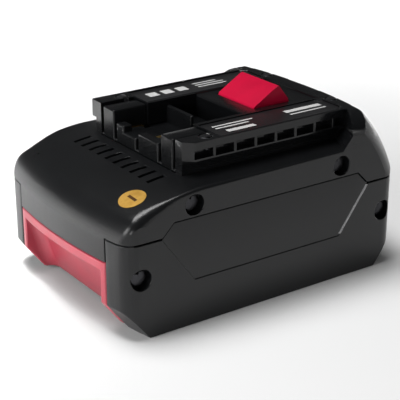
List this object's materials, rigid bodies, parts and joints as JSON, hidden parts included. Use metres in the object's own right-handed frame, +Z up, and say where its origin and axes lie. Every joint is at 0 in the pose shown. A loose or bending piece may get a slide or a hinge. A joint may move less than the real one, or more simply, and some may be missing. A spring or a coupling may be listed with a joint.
{
  "type": "power tool battery pack",
  "caption": "Slide-on battery pack: two-part case with hollow tool rails, slotted terminal block, red release button at one end and a spring latch wedge on top.",
  "frame": {"origin": "middle of the underside of the case", "axes": "+X along the pack away from the red release button, +Y across it, +Z up towards the tool"},
  "size_m": [0.1134, 0.075, 0.0615],
  "materials": {
    "case_black": "fine moulded grain, dark charcoal",
    "button_red": "satin red moulding",
    "frame_grey": "plain moulded",
    "board_green": "solder mask",
    "chip_black": "moulded packages",
    "contact_brass": "bright spring brass",
    "pin_steel": "drawn steel",
    "screw_dark": "black zinc plated steel",
    "cell_wrap": "steel can in a plastic shrink wrap",
    "strip_nickel": "nickel plated strip",
    "insulator_paper": "insulating paper",
    "wire_red": "silicone insulation",
    "label_film": "printed film",
    "seal_gold": "metallic gold film"
  },
  "bodies": {
    "case": {"bottom_shell": "case_black", "top_shell": "case_black", "contact_holder": "case_black", "board_tray": "frame_grey", "cell_holder_near": "frame_grey", "cell_holder_far": "frame_grey", "bms_board": "board_green", "board_parts": "chip_black", "thermistor": "chip_black", "contact_1": "contact_brass", "contact_2": "contact_brass", "contact_3": "contact_brass", "contact_4": "contact_brass", "contact_5": "contact_brass", "latch_springs": "pin_steel", "side_screws": "screw_dark", "rail_screws": "screw_dark", "cell_1": "cell_wrap", "cell_2": "cell_wrap", "cell_3": "cell_wrap", "cell_4": "cell_wrap", "cell_5": "cell_wrap", "cell_6": "cell_wrap", "cell_7": "cell_wrap", "cell_8": "cell_wrap", "cell_9": "cell_wrap", "cell_10": "cell_wrap", "strip_1": "strip_nickel", "strip_2": "strip_nickel", "strip_3": "strip_nickel", "strip_4": "strip_nickel", "strip_5": "strip_nickel", "strip_6": "strip_nickel", "lead_negative": "strip_nickel", "insulator_near": "insulator_paper", "insulator_far": "insulator_paper", "lead_positive": "wire_red", "rail_label_near": "label_film", "rail_label_far": "label_film", "round_sticker": "seal_gold"},
    "button": {"release_button": "button_red"},
    "latch": {"latch": "button_red", "cam_pin": "pin_steel"}
  },
  "joints": [
    {"name": "button_slide", "type": "slide", "parent": "case", "child": "button", "axis": [1, 0, 0], "range_m": [0, 0.0036]},
    {"name": "latch_slide", "type": "slide", "parent": "case", "child": "latch", "axis": [0, 0, -1], "range_m": [0, 0.0055], "stiffness_N_per_m": 700, "springref_m": -0.005, "deforming": ["latch_springs"]}
  ],
  "couplings": [
    {"joint": "latch_slide", "follows": "button_slide", "ratio": 1.5277}
  ]
}
